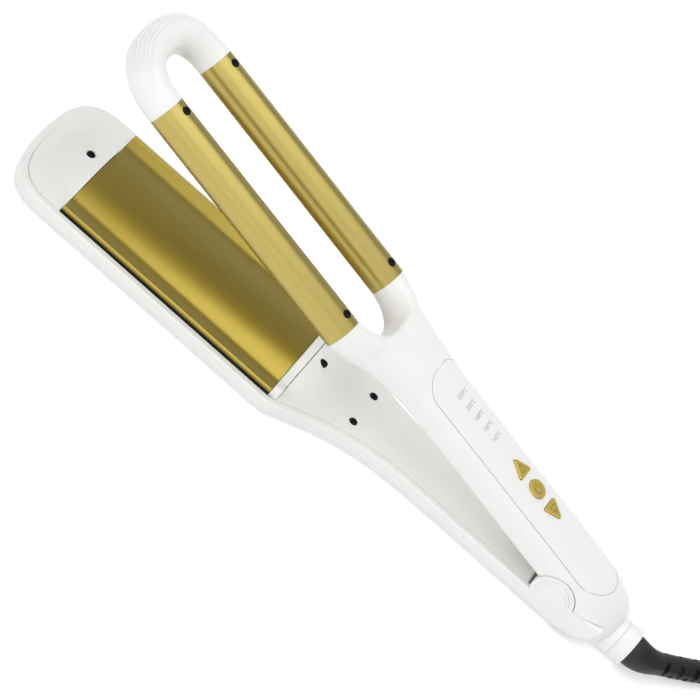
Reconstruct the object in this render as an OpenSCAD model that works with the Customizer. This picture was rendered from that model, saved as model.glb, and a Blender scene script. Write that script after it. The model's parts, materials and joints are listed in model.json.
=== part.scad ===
// Two-barrel hair waver: a handle arm with a forked pair of heated barrels, hinged to a
// plate arm whose wavy heated plate the barrels nest into. Millimetres. The waver lies
// open on the flat back of its plate arm. +X runs to the cord end, +Z up from the rest plane.

/* [Barrels] */
// Outer diameter of each barrel
barrel_d = 17; // [15:0.5:19]
// Length of the bare barrel between fork and tip cap
barrel_len = 122; // [100:1:150]
// Distance between the two barrel axes
barrel_spacing = 47; // [43:0.5:52]
// Wall of the barrel tube
barrel_wall = 1.2; // [0.8:0.1:1.6]
// Height of the barrel axes above the hinge axis, arms closed
barrel_rise = 5.2; // [4.6:0.1:6.5]
// Distance from the hinge axis to the root of the barrels
root_reach = 150; // [140:1:175]
// Length of the tip cap beyond the barrels
cap_len = 32; // [28:0.5:38]

/* [Handle arm] */
// Width of the handle
handle_w = 34; // [31:0.5:38]
// Top of the handle above the hinge axis, arms closed
handle_top = 17.4; // [16:0.1:20]
// Depth of the handle underside below the hinge axis, arms closed
handle_under = 1.5; // [1:0.1:2.4]
// Wall of the handle housing
handle_wall = 2.4; // [2:0.1:3]
// Angle between the arms at the open stop
open_angle = 13; // [10:0.5:18]

/* [Plate arm] */
// Depth of the rest plane below the hinge axis
rest_depth = 16; // [15.5:0.1:19]
// Depth of the housing rim below the hinge axis
rim_depth = 5.2; // [4.8:0.1:6]
// Wall of the plate arm housing
shell_wall = 3.3; // [2.6:0.1:4]
// Floor of the plate arm housing
floor_t = 2.4; // [2:0.1:3]
// Radius under the long edges of the housing
under_r = 7; // [4:0.5:8]
// Width of the wavy plate
plate_w = 69; // [67:0.5:76]
// Length of the wavy plate
plate_len = 120; // [98:1:148]
// Thickness of the wavy plate
plate_t = 1.5; // [1.2:0.1:2]
// Height of the middle ridge above the two troughs
ridge_h = 5.6; // [5:0.1:7]
// Gap between barrel and trough with the arms closed
trough_gap = 1.2; // [0.8:0.1:2.5]
// Length of the tip insert beyond the plate
insert_len = 27.4; // [24:0.2:34]
// Width of the root strip between plate and cover
strip_w = 4.2; // [3:0.1:6]

/* [Hinge] */
// Radius of the round ears
ear_r = 10.8; // [10:0.1:11.4]
// Diameter of the hinge pin
pin_d = 4; // [3:0.1:5]
// Radial clearance of the pin in its bores
pin_fit = 0.05; // [0.02:0.01:0.1]

/* [Controls] */
// Diameter of the round power button
button_d = 9; // [8:0.1:9.6]
// Distance between the button centres
button_pitch = 11.2; // [11:0.1:13]
// Distance from the hinge axis to the power button
power_reach = 41.4; // [38:0.2:52]
// Height of the buttons above the panel
button_proud = 0.9; // [0.7:0.1:1.5]
// Travel of each button
button_travel = 0.6; // [0.3:0.05:0.7]
// Thickness of the control panel
panel_t = 1.8; // [1.4:0.1:2.4]

/* [Cord] */
// Outer diameter of the tail collar
collar_d = 19; // [18:0.2:20]
// Diameter of the cord
cord_d = 6.5; // [6:0.1:7]
// Diameter of the strain relief at the collar
boot_d = 15.4; // [13:0.2:16]
// Diameter of each plug pin
plug_pin_d = 4; // [4:0.1:4.8]
// Distance between the plug pins
plug_pin_spacing = 19; // [18:0.1:19]

/* [Hidden] */

// Colours
white = "#f4f4f2";
gold = "#b79a45";
button_gold = "#c7a334";
black = "#1c1c1e";
steel = "#b9bcc0";
board_green = "#2f6b46";
amber = "#e8b04a";

// Clearances
joint_gap = 0.15;     // between housings that are fixed to each other
touch_gap = 0.05;     // between parts that seat on each other
moving_gap = 0.3;     // between parts that move past each other
button_gap = 0.22;    // round each button in the panel

// Barrels, measured along the handle arm from the hinge axis
barrel_r = barrel_d / 2;
half_spacing = barrel_spacing / 2;
barrel_end = root_reach + barrel_len;
bore_r = barrel_r - barrel_wall;
sleeve_r = bore_r - touch_gap;
sleeve_wire_r = sleeve_r - 3.4;
spigot_r = sleeve_r - 1.8;
spigot_len = 5;
sleeve_in = 13;
barrel_screw_in = 6.4;
screw_shank_r = 1.1;
screw_head_r = 1.95;
screw_head_h = 1.1;
screw_hole_len = 14;

// Wave shared by plate, strip, cover and insert
trough_z = barrel_rise - barrel_r - trough_gap;
ridge_z = trough_z + ridge_h;
trough_r = barrel_r + 1.5;
arc_sum = (half_spacing * half_spacing + ridge_h * ridge_h) / (2 * ridge_h);
ridge_r = arc_sum - trough_r;
meet_y = half_spacing * ridge_r / arc_sum;

// Plate arm, measured along the arm from the hinge axis
wall_half = handle_w / 2;
grip_half = wall_half - shell_wall;
frame_gap = 1.2;
pad_half = plate_w / 2 + frame_gap;
plate_x0 = root_reach + 1.6;
plate_x1 = plate_x0 + plate_len;
strip_x0 = plate_x0 - strip_w;
shoulder_x0 = root_reach - 92;
tip_x0 = plate_x1 + 3;
tip_rx = insert_len - 3;
tip_ry = pad_half;
shell_end = tip_x0 + tip_rx + shell_wall;
room_x1 = 11.4;
cover_x0 = room_x1 + 0.4;
cavity_z = floor_t - rest_depth;
under_z = -rest_depth;
rim_z = -rim_depth;
lip_z = 0;
cover_flat = 0.2 - rim_depth;
cover_t = 2;
insert_under = trough_z - 3.4;
ledge_w = 1.2;
wire_z = cavity_z + 3;
boss_r = 3.6;
tail_x0 = -6;
tail_x1 = -28.5;
tail_z1 = -1;
tail_cut_x = -26.7;

// Hinge
core_half = grip_half - 0.35;
core_r = ear_r - 0.4;
ear_in = grip_half + 0.2;
ear_out = wall_half + 0.2;
pin_r = pin_d / 2;
cap_r = 8.4;
cap_t = 1.2;
cap_seat = 0.8;
spring_half = 6;
spring_r = 3.9;
washer_t = ear_in - core_half - 2 * touch_gap;

// Handle arm
fork_x0 = root_reach - 47;
fork_x1 = root_reach - 1;
crotch_r = half_spacing - barrel_r;
crotch_x = root_reach - crotch_r;
tail_bend_x0 = -6;
tail_bend_x1 = -30.5;
tail_power = 3.6;
tail_end_r = collar_d / 2 + 0.05;
collar_r = collar_d / 2;
neck_r = collar_r + 0.1;
neck_z = neck_r + 0.15 - rest_depth;
neck_x0 = -27;
neck_x1 = -35.2;
collar_x1 = -42.7;
neck_bore_r = neck_r - 1.15;
bush_r = 6.7;
tail_mid_z = (neck_z - tail_bend_x1 * sin(open_angle)) / cos(open_angle);
cavity_half = wall_half - handle_wall - 0.4;
bay_floor = handle_wall - handle_under;
bay_top = handle_top - 5.2;
board_z = handle_top - 9.15;
board_t = 1.6;
board_half = cavity_half - 2.7;
board_x0 = 22;
board_x1 = 104;
panel_x0 = -15.5;
panel_x1 = 110.5;
panel_half = wall_half - 2.6;
flange_t = 0.9;
flange_lip = 0.8;
panel_under = handle_top - panel_t;
flange_low = panel_under - 0.3 - flange_t;
plunger_low = flange_low - 0.4;
switch_top = plunger_low - button_travel - touch_gap;
led_r = 1.2;
led_y = 0.7;
mark_pitch = 6.1;
mark_count = 5;
mark_x0 = 70.8;
under_x0 = 16;
under_x1 = 100;
under_half = wall_half - 5.2;

// Fine ribs on the tip cap
rib_count = 5;
rib_tilt = 24;
rib_step = 11.5;
rib_h = 0.35;
rib_r = 0.4;

// Cord: route points from the strain relief to the coil, and from the coil to the plug
cord_r = cord_d / 2;
boot_end_r = 4.4;
boot_mid_r = 5.3;
boot_route = [
  [43, 0, 9.75], [46, 0, 9.75], [49, 0.6, 9.65], [52, 2, 9.4], [55, 4.2, 9], [58, 6.9, 8.5],
  [62, 10.6, 7.8], [66, 14.5, 7.2], [70, 18.4, 6.6], [74, 22.3, 6.1], [78, 26.2, 5.6], [82, 30, 5]
];
lead_route = [
  [82, 30, 5], [86, 33.8, 4.4], [90, 37.6, 3.8], [95, 42.3, 3.5], [100, 46.9, 3.6],
  [105, 51.3, 3.9], [109, 54.8, 4.15]
];
tail_route = [
  [149.3, 63.6, 9.8], [155.1, 62.7, 10.25], [161.4, 62, 10.8], [168.3, 61.1, 10.7], [175.7, 59.5, 9.4],
  [183.4, 56.8, 7.4], [191, 52.6, 5.6], [197.9, 46.8, 4.6], [203.4, 39.6, 4.6], [207.2, 31.1, 5.6],
  [208.5, 24.5, 6.7], [208.5, 19, 6.9]
];
coil_x = 140.5;
coil_y = 22;
coil_turn_r = 36;
coil_z = 0.9;
coil_high = cord_r + 0.866 * cord_d;
tie_w = 12;
tie_t = 0.8;
plug_relief_len = 14;
plug_len = 35;
plug_w = 35;
plug_h = 13.7;
plug_corner_r = 5;
plug_pin_len = 19;

// ---- curves -------------------------------------------------------------------------

function clamp01(t) = min(1, max(0, t));
function smooth(t) = let (u = clamp01(t)) u * u * (3 - 2 * u);
function swell(t, p, q) = 1 - pow(1 - pow(clamp01(t), p), q);
function signed_pow(v, e) = sign(v) * pow(abs(v), e);
function mix(a, b, t) = a + (b - a) * t;
function unit(v) = v / norm(v);

// Height of the wave across the arm: ridge arc, then trough arc, flat past the trough axis
function wave_z(y) =
  let (v = min(abs(y), half_spacing))
  v < meet_y ? ridge_z - ridge_r + sqrt(ridge_r * ridge_r - v * v)
             : trough_z + trough_r - sqrt(trough_r * trough_r - pow(half_spacing - v, 2));

// Half width of the plate arm's plan outline, grown outward by g
function shoulder(x) = swell((x - shoulder_x0) / (root_reach - shoulder_x0), 3.2, 1.3);
function plan_half(x, g) =
  x > tip_x0
    ? (tip_ry + g) * pow(max(0, 1 - pow((x - tip_x0) / (tip_rx + g), 3.4)), 1 / 2.7)
    : grip_half + g + (pad_half - grip_half) * shoulder(x);

// Underside and rim of the plate arm's housing
function shell_under(x) =
  x > shell_end - under_r ? under_z + under_r - sqrt(max(0, under_r * under_r - pow(x - shell_end + under_r, 2)))
  : x < tail_x0 ? under_z + (tail_z1 - under_z) * (1 - sqrt(max(0, 1 - pow((tail_x0 - x) / (tail_x0 - tail_x1), 2))))
  : under_z;
function shell_rim(x) = x > 8 ? rim_z : mix(rim_z, 1.2, smooth((8 - x) / 16)) + 2.6 * smooth((-8 - x) / 18);

// One cross-section of the plate arm's housing: rounded below, flat rim
function shell_ring(x) =
  let (w = plan_half(x, shell_wall), zb = shell_under(x), zt = shell_rim(x),
       r = min(under_r, 0.9 * w, 0.9 * (zt - zb)), c = min(0.8, 0.4 * w, 0.3 * (zt - zb)))
  concat(
    [[x, w - c, zt], [x, -w + c, zt], [x, -w, zt - c]],
    [for (a = [180:15:270]) [x, -w + r + r * cos(a), zb + r + r * sin(a)]],
    [for (a = [270:15:360]) [x, w - r + r * cos(a), zb + r + r * sin(a)]],
    [[x, w, zt - c]]);

// Cross-section of one half of the handle arm, cut flat at the mid-plane
function outer_y(x) = x < tail_bend_x0
  ? tail_end_r + (wall_half - tail_end_r) * sqrt(max(0, 1 - pow((tail_bend_x0 - x) / (tail_bend_x0 - tail_bend_x1), tail_power)))
  : wall_half + (half_spacing + barrel_r - wall_half) * swell((x - fork_x0) / (fork_x1 - fork_x0), 1.6, 1.15);
function inner_y(x) =
  x >= root_reach ? crotch_r
  : x > crotch_x ? sqrt(crotch_r * crotch_r - pow(root_reach - x, 2))
  : -outer_y(x) * sqrt(clamp01((crotch_x - x) / (crotch_x - fork_x0)));
function top_z(x) = x < tail_bend_x0
  ? tail_mid_z + tail_end_r + (handle_top - tail_mid_z - tail_end_r) * sqrt(max(0, 1 - pow((tail_bend_x0 - x) / (tail_bend_x0 - tail_bend_x1), tail_power)))
  : mix(handle_top, barrel_rise + barrel_r, smooth((x - fork_x0 - 4) / (root_reach - fork_x0 - 4)));
function bottom_z(x) = x < 16
  ? mix(-handle_under, tail_mid_z - tail_end_r, smooth((16 - x) / (16 - tail_bend_x1)))
  : mix(-handle_under, barrel_rise - barrel_r, smooth((x - fork_x0 - 14) / (root_reach - fork_x0 - 14)));
function half_ring(x, inset) =
  let (yo = outer_y(x) - inset, yi = inner_y(x) + inset, zt = top_z(x) - inset, zb = bottom_z(x) + inset,
       k = max(smooth((x - fork_x0) / (root_reach - fork_x0)), smooth((tail_bend_x0 - x) / 20)),
       et = mix(2.8, 2, k), eb = mix(4.2, 2, k))
  [for (i = [0:31])
    let (a = 360 * i / 32, e = sin(a) > 0 ? et : eb,
         y = (yo + yi) / 2 + (yo - yi) / 2 * signed_pow(cos(a), 2 / e),
         z = (zt + zb) / 2 + (zt - zb) / 2 * signed_pow(sin(a), 2 / e))
    [x, max(0, y), z]];

// Centre line of the tip cap: a squared U from barrel to barrel
function cap_point(a) = [
  barrel_end + (cap_len - barrel_r) * pow(max(0, cos(a)), 0.8),
  half_spacing * signed_pow(sin(a), 0.8),
  barrel_rise];
function cap_normal(a) = abs(a) > 89.9 ? [0, sign(a), 0]
  : let (d = unit(cap_point(a + 0.05) - cap_point(a - 0.05))) [d.y, -d.x, 0];

// Rings square to a route of points, one radius for each point
function route_dir(p, i) = unit(p[min(i + 1, len(p) - 1)] - p[max(i - 1, 0)]);
function route_rings(p, radii, sides) = [for (i = [0:len(p) - 1])
  let (d = route_dir(p, i), s = unit([-d.y, d.x, 0]), u = cross(d, s))
  [for (k = [0:sides - 1]) p[i] + radii[i] * (cos(360 * k / sides) * s + sin(360 * k / sides) * u)]];

// ---- shared shapes ------------------------------------------------------------------

// Closed solid through rings that all have the same number of points. Ends that aren't
// convex are closed in strips between the ring's two halves.
module skin(rings, strips = false) {
  n = len(rings[0]);
  m = len(rings);
  last = (m - 1) * n;
  sides = [for (j = [0:m - 2], i = [0:n - 1])
    let (a = j * n + i, b = j * n + (i + 1) % n)
    each [[a, b + n, b], [a, a + n, b + n]]];
  caps = strips
    ? [for (i = [0:n / 2 - 2]) each [
        [i, i + 1, n - 1 - i], [i + 1, n - 2 - i, n - 1 - i],
        [last + i, last + n - 1 - i, last + i + 1], [last + i + 1, last + n - 1 - i, last + n - 2 - i]]]
    : [[for (i = [0:n - 1]) i], [for (i = [n - 1:-1:0]) last + i]];
  polyhedron([for (ring = rings) each ring], concat(sides, caps), convexity = 6);
}

// The arms' own frames: x from the hinge to the tip, z up from the hinge axis
module plate_arm() translate([0, 0, rest_depth]) mirror([1, 0, 0]) children();
module handle_arm() translate([0, 0, rest_depth]) rotate([0, open_angle, 0]) mirror([1, 0, 0]) children();
// The plate arm's directions inside the handle arm's frame
module level() rotate([0, open_angle, 0]) children();

module across(r, half_len) rotate([90, 0, 0]) cylinder(r = r, h = 2 * half_len, center = true, $fn = 96);
module along(r, x0, x1) translate([min(x0, x1), 0, 0]) rotate([0, 90, 0]) cylinder(r = r, h = abs(x1 - x0), $fn = 96);
module block(x, y, z) translate([x[0], y[0], z[0]]) cube([x[1] - x[0], y[1] - y[0], z[1] - z[0]]);
module both_sides() {
  children();
  mirror([0, 1, 0]) children();
}
module each_barrel() for (s = [-1, 1]) translate([0, s * half_spacing, barrel_rise]) children();

// Screw with a recessed cross, head top at z = 0
module screw(head_r, shank_r, depth) {
  difference() {
    translate([0, 0, -screw_head_h]) cylinder(r = head_r, h = screw_head_h, $fn = 48);
    for (a = [0, 90]) rotate([0, 0, a]) cube([head_r * 1.1, 0.5, 1.2], center = true);
  }
  translate([0, 0, -depth]) cylinder(r = shank_r, h = depth - screw_head_h, $fn = 32);
}
module screw_hole(head_r, shank_r, depth) {
  translate([0, 0, -screw_head_h - touch_gap]) cylinder(r = head_r + joint_gap, h = 12, $fn = 48);
  translate([0, 0, -depth - 0.4]) cylinder(r = shank_r + touch_gap, h = depth, $fn = 32);
}

// ---- plate arm ----------------------------------------------------------------------

// Cross-section below the wave surface, moved inward by t
module wave_section(t) {
  w = plate_w / 2 - t;
  edge_r = 2.2 - t;
  low = trough_z - 20;
  difference() {
    union() {
      intersection() {
        translate([0, ridge_z - ridge_r]) circle(r = ridge_r - t, $fn = 180);
        translate([-meet_y, low]) square([2 * meet_y, 40]);
      }
      translate([-meet_y, low]) square([2 * meet_y, trough_z - low]);
      for (s = [0, 1]) mirror([s, 0]) {
        translate([meet_y - 1, low]) square([w - edge_r - meet_y + 1, lip_z - t - low]);
        translate([meet_y, low]) square([w - meet_y, lip_z - t - edge_r - low]);
        translate([w - edge_r, lip_z - t - edge_r]) circle(r = edge_r, $fn = 48);
      }
    }
    for (s = [-1, 1])
      translate([s * half_spacing, trough_z + trough_r]) circle(r = trough_r + t, $fn = 120);
  }
}
module wave_bar(x0, x1, t, low, high) {
  intersection() {
    translate([x0, 0, 0]) rotate([90, 0, 90]) linear_extrude(x1 - x0) wave_section(t);
    block([x0, x1], [-plate_w, plate_w], [low, high]);
  }
}

// Plan outline of the plate arm's inside, grown by g, between two stations
shoulder_xs = [for (i = [0:24]) shoulder_x0 + (root_reach - shoulder_x0) * i / 24];
function plan_stations(x0, x1) = concat(
  [x0], [for (x = shoulder_xs) if (x > x0 + 0.5 && x < x1 - 0.5) x], [min(x1, tip_x0)],
  x1 > tip_x0 ? [for (a = [6:6:90]) tip_x0 + tip_rx * pow(sin(a), 0.9)] : []);
function plan_outline(x0, x1, g) =
  let (xs = plan_stations(x0, x1),
       pts = [for (x = xs) [x > tip_x0 ? tip_x0 + (x - tip_x0) * (tip_rx + g) / tip_rx : x, plan_half(
         x > tip_x0 ? tip_x0 + (x - tip_x0) * (tip_rx + g) / tip_rx : x, g)]],
       n = len(pts))
  concat([for (i = [0:n - 1]) [pts[i].x, -max(pts[i].y, 0.02)]], [for (i = [n - 1:-1:0]) [pts[i].x, max(pts[i].y, 0.02)]]);
module plan_slab(x0, x1, g, low, high)
  translate([0, 0, low]) linear_extrude(high - low) polygon(plan_outline(x0, x1, g));

// Screw posts between the floor and the parts above
cover_front = [root_reach - 8, 0];
cover_rear = [root_reach - 34.5, 11];
tip_screw_x = plate_x1 + 7.4;
island_x = plate_x1 + joint_gap + 0.4;
tip_screw_z = wave_z(tip_screw_x - island_x) + 0.3;
module posts(r, low, high)
  for (p = [cover_front, cover_rear, [cover_rear.x, -cover_rear.y]])
    translate([p.x, p.y, low]) cylinder(r = r, h = high - low, $fn = 48);

module lower_shell() color(white) plate_arm() {
  xs = concat(
    [for (i = [0:7]) tail_x1 + (tail_x0 - tail_x1) * (1 - cos(90 * i / 7))],
    [0, 6, 12], shoulder_xs,
    [(root_reach + tip_x0) / 2],
    [for (a = [0:7:84]) tip_x0 + (shell_end - tip_x0) * sin(a)],
    [shell_end - 0.05]);
  difference() {
    union() {
      skin([for (x = xs) shell_ring(x)]);
      for (s = [-1, 1]) translate([0, s * (ear_out - 2), 0]) across(ear_r, 2);
    }
    // Room for the hinge core and the tail of the handle arm
    block([tail_x0 - 2, room_x1], [-ear_in, ear_in], [cavity_z, 30]);
    block([tail_x1 - 5, tail_x0 - 1.9], [-ear_in, ear_in], [-30, 30]);
    translate([tail_cut_x, 0, 4]) rotate([0, -open_angle, 0]) block([-20, 0], [-handle_w, handle_w], [-40, 20]);
    // Open inside with a ledge for cover and insert
    plan_slab(cover_x0, strip_x0, 0, cover_flat - cover_t - touch_gap, 20);
    plan_slab(cover_x0 + 0.6, strip_x0 + 1, -ledge_w, cavity_z, 20);
    plan_slab(strip_x0, plate_x1 + 0.2, 0, cavity_z, 20);
    plan_slab(plate_x1, tip_x0 + tip_rx, 0, insert_under - touch_gap, 20);
    plan_slab(plate_x1, tip_x0 + tip_rx, -ledge_w, cavity_z, 20);
    // Wire passage, pin bore and seats of the hinge caps
    translate([0, 0, wire_z]) along(2.2, room_x1 - 1, cover_x0 + 1.5);
    across(pin_r + pin_fit, 30);
    for (s = [-1, 1]) translate([0, s * (ear_out - cap_seat + 3), 0]) across(cap_r + touch_gap, 3);
  }
  // Screw posts
  difference() {
    union() {
      posts(boss_r, cavity_z - 0.2, cover_flat - cover_t - 2 * touch_gap);
      translate([tip_screw_x, 0, cavity_z - 0.2]) cylinder(r = boss_r, h = insert_under - 2 * touch_gap - cavity_z + 0.2, $fn = 48);
    }
    posts(screw_shank_r + touch_gap, cavity_z + 0.8, 0);
    translate([tip_screw_x, 0, cavity_z + 0.8]) cylinder(r = screw_shank_r + touch_gap, h = 20, $fn = 32);
  }
}

// Cover of the grip and shoulder: flat, then rising into the wave at the strip
fade_x0 = shoulder_xs[19];
rise_x0 = root_reach - 18;
rise_len = 15;
function cover_top(x, y) = mix(cover_flat, wave_z(y), smooth((x - rise_x0) / rise_len));
function cover_ring(x, n = 24) =
  let (w = plan_half(x, -joint_gap))
  concat(
    [for (i = [0:n]) let (y = w - 2 * w * i / n) [x, y, cover_top(x, y)]],
    [for (i = [0:n]) let (y = -w + 2 * w * i / n) [x, y, cover_top(x, y) - cover_t]]);
module inner_cover() color(white) plate_arm() {
  x1 = strip_x0 - joint_gap;
  xs = concat([for (x = shoulder_xs) if (x >= fade_x0 && x < x1 - 0.5) x], [x1]);
  flat_xs = concat([cover_x0 + joint_gap], [for (x = shoulder_xs) if (x <= fade_x0) x]);
  difference() {
    union() {
      skin([for (x = flat_xs) cover_ring(x, 1)]);
      skin([for (x = xs) cover_ring(x)], strips = true);
      translate([cover_front.x, 0, cover_flat - cover_t]) cylinder(r = boss_r, h = cover_top(cover_front.x, 0) - cover_flat + 0.6, $fn = 48);
    }
    translate([cover_front.x, cover_front.y, cover_top(cover_front.x, 0) + 0.3]) screw_hole(screw_head_r, screw_shank_r, screw_hole_len);
    both_sides() translate([cover_rear.x, cover_rear.y, cover_flat + 0.3]) screw_hole(screw_head_r, screw_shank_r, screw_hole_len);
  }
}

module cover_screws() color(black) plate_arm() {
  translate([cover_front.x, cover_front.y, cover_top(cover_front.x, 0) + 0.3]) screw(screw_head_r, screw_shank_r, 12.4);
  both_sides() translate([cover_rear.x, cover_rear.y, cover_flat + 0.3]) screw(screw_head_r, screw_shank_r, 7.4);
}

// Rounded end of the plate arm: the wave carried round the tip, flat outside it
module tip_insert() color(white) plate_arm() {
  x0 = plate_x1 + joint_gap;
  difference() {
    plan_slab(x0, tip_x0 + tip_rx, -joint_gap, insert_under, ridge_z + 1);
    translate([island_x, 0, 0]) rotate_extrude($fn = 160) wave_above();
    translate([tip_screw_x, 0, tip_screw_z]) screw_hole(screw_head_r, screw_shank_r, screw_hole_len);
  }
}
// Region above the wave from the middle outward, for turning round the tip
module wave_above() polygon(concat(
  [for (i = [0:20]) let (v = half_spacing * i / 20) [v, wave_z(v)]],
  [[plate_w + insert_len, trough_z], [plate_w + insert_len, 30], [0, 30]]));
module tip_screw() color(black) plate_arm() translate([tip_screw_x, 0, tip_screw_z]) screw(screw_head_r, screw_shank_r, 12.4);

module root_strip() color(white) plate_arm() wave_bar(strip_x0, plate_x0 - joint_gap, 0, cover_flat - cover_t, 20);

module wave_plate() color(gold) plate_arm() difference() {
  wave_bar(plate_x0, plate_x1, 0, trough_z - plate_t, 20);
  wave_bar(plate_x0 - 1, plate_x1 + 1, plate_t, -30, 20);
}

// Black carrier ring under the plate's edges
frame_top = trough_z - plate_t - touch_gap;
rail_in = plate_w / 2 - 3;
module plate_frame() color(black) plate_arm() difference() {
  plan_slab(strip_x0 + 0.6, plate_x1, -joint_gap, cavity_z + touch_gap, frame_top);
  block([plate_x0 + 2, plate_x1 - 3], [-rail_in, rail_in], [-30, 0]);
  block([strip_x0, plate_x0 - joint_gap], [-plate_w, plate_w], [cover_flat - cover_t - touch_gap, 0]);
}

// Heaters cradled under the two troughs, and the sheet clamp that presses them up
heater_low = trough_z - plate_t - 2.6;
heater_side = 3;
heater_in = 5;
module plate_heater() color(steel) plate_arm() both_sides() difference() {
  block([plate_x0 + 12, plate_x1 - 12], [half_spacing - heater_in, rail_in - heater_side], [heater_low, trough_z]);
  translate([0, half_spacing, trough_z + trough_r]) along(trough_r + plate_t + touch_gap, plate_x0, plate_x1);
}
clamp_x0 = plate_x0 + 14;
clamp_x1 = plate_x1 - 14;
module heater_clamp() color(steel) plate_arm() {
  top = heater_low - touch_gap;
  leg = rail_in - 1.4;
  difference() {
    block([clamp_x0, clamp_x1], [-leg, leg], [top - 1, top]);
    for (i = [-1:1]) translate([(clamp_x0 + clamp_x1) / 2 + 28 * i, 0, top - 2]) cylinder(r = 8, h = 4, $fn = 64);
  }
  both_sides() block([clamp_x0, clamp_x1], [leg - 1, leg], [cavity_z + touch_gap, top]);
}
module thermal_fuse() color(amber) plate_arm() {
  fuse_r = 1.9;
  z = cavity_z + touch_gap + fuse_r;
  x0 = (clamp_x0 + clamp_x1) / 2 - 6;
  translate([0, 0, z]) along(fuse_r, x0, x0 + 12);
  translate([0, 0, z]) along(0.5, x0 - 6, x0 + 18);
}

// ---- hinge --------------------------------------------------------------------------

module hinge_pin() color(steel) plate_arm() across(pin_r, ear_out - cap_seat - touch_gap);
module hinge_cap() difference() {
  union() {
    translate([0, ear_out - cap_seat + cap_t / 2, 0]) across(cap_r, cap_t / 2);
    translate([0, ear_out - cap_seat + cap_t + 0.2, 0]) across(cap_r - 1.6, 0.25);
  }
  translate([0, ear_out - cap_seat + cap_t + 1.3, 0]) across(cap_r - 3, 1);
}
module hinge_cap_near() color(white) plate_arm() mirror([0, 1, 0]) hinge_cap();
module hinge_cap_far() color(white) plate_arm() hinge_cap();
module hinge_washers() color(steel) plate_arm() for (s = [-1, 1]) difference() {
  translate([0, s * (core_half + ear_in) / 2, 0]) across(6.5, washer_t / 2);
  across(pin_r + pin_fit, 30);
}
module hinge_spring() color(steel) handle_arm() difference() {
  across(spring_r, spring_half);
  across(spring_r - 1.2, spring_half + 1);
}

// ---- handle arm ---------------------------------------------------------------------

// Neck and collar lie level when the arms rest open
module neck_part(r, x0, x1) level() translate([0, 0, neck_z]) along(r, x0, x1);
module lead_channels() both_sides() {
  from = [board_x1 - 3, 7, board_z];
  to = [root_reach - spigot_len + 1, half_spacing, barrel_rise];
  d = to - from;
  translate(from) rotate([0, acos(d.z / norm(d)), atan2(d.y, d.x)]) cylinder(r = 3.2, h = norm(d), $fn = 48);
}
handle_xs = concat(
  [for (i = [0:7]) tail_bend_x1 + (tail_bend_x0 - tail_bend_x1) * (1 - cos(90 * i / 7))],
  [4, 12, 60],
  [for (i = [0:5]) fork_x0 + (crotch_x - 6 - fork_x0) * i / 5]);
fork_xs = concat(
  [crotch_x - 4, crotch_x - 2.2, crotch_x - 1, crotch_x - 0.3, crotch_x + 0.5, crotch_x + 1.6, crotch_x + 3.4],
  [crotch_x + 6, crotch_x + 9.5, root_reach]);
module handle_solid() both_sides() skin([for (x = concat(handle_xs, fork_xs)) half_ring(x, 0)]);
module upper_shell() color(white) handle_arm() difference() {
  union() {
    handle_solid();
    intersection() {
      across(core_r, core_half);
      block([-20, 20], [-core_half, core_half], [-20, 5]);
    }
    neck_part(neck_r, neck_x0, neck_x1);
    level() translate([neck_x0 + 10, 0, neck_z]) rotate([0, -90, 0]) cylinder(r1 = neck_r - 3.1, r2 = neck_r, h = 10, $fn = 96);
  }
  // Room beside the core for the ears and the cheeks of the plate arm
  both_sides() {
    translate([0, core_half + 10, 0]) across(ear_r + 0.4, 10);
    level() cheek_room();
  }
  // Board bay, panel seat and bottom opening
  block([board_x0 - 8, board_x1 + 2], [-cavity_half, cavity_half], [bay_floor, bay_top]);
  intersection() {
    panel_prism(panel_x0 - touch_gap, panel_x1 + touch_gap, panel_half + touch_gap, bay_top - 0.3, 30);
    difference() {
      panel_skin(-1);
      panel_skin(panel_t + touch_gap);
    }
  }
  panel_prism(board_x0 - 8, board_x1 + 2, panel_half - 2.2, bay_top - 1, 30);
  rounded_prism(under_x0 - touch_gap, under_x1 + touch_gap, under_half + touch_gap, 4, -20, bay_floor + 0.1);
  // Hinge bore with the spring's pocket, cord bore, lead channels and spigot bores
  across(pin_r + pin_fit, 30);
  across(spring_r + moving_gap, spring_half + moving_gap);
  neck_part(neck_bore_r, neck_x1 + 9, neck_x1 - 1);
  neck_part(4, -10, neck_x1);
  block([-15, -8], [-4, 4], [-6, 10]);
  block([-15, board_x0 - 7], [-4, 4], [5.4, 10]);
  lead_channels();
  each_barrel() along(spigot_r + touch_gap, root_reach - spigot_len, root_reach + 1);
}
// Space taken by the cheeks beside the tail, in the plate arm's directions
module cheek_room() translate([0, ear_in + 19.8, 0]) rotate([90, 0, 0]) linear_extrude(20)
  polygon(concat(
    [[6, -30], [6, 2]],
    [for (i = [0:8]) let (x = 2 + (tail_x1 - 3.5) * i / 8) [x, shell_rim(x) + 0.5]],
    [[tail_x1 - 1.5, -30]]));
module rounded_prism(x0, x1, half, r, low, high) translate([0, 0, low]) linear_extrude(high - low) {
  translate([x0 + r, -half]) square([x1 - x0 - 2 * r, 2 * half]);
  translate([x0, -half + r]) square([x1 - x0, 2 * half - 2 * r]);
  for (x = [x0 + r, x1 - r], y = [-half + r, half - r]) translate([x, y]) circle(r = r, $fn = 64);
}
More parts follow.
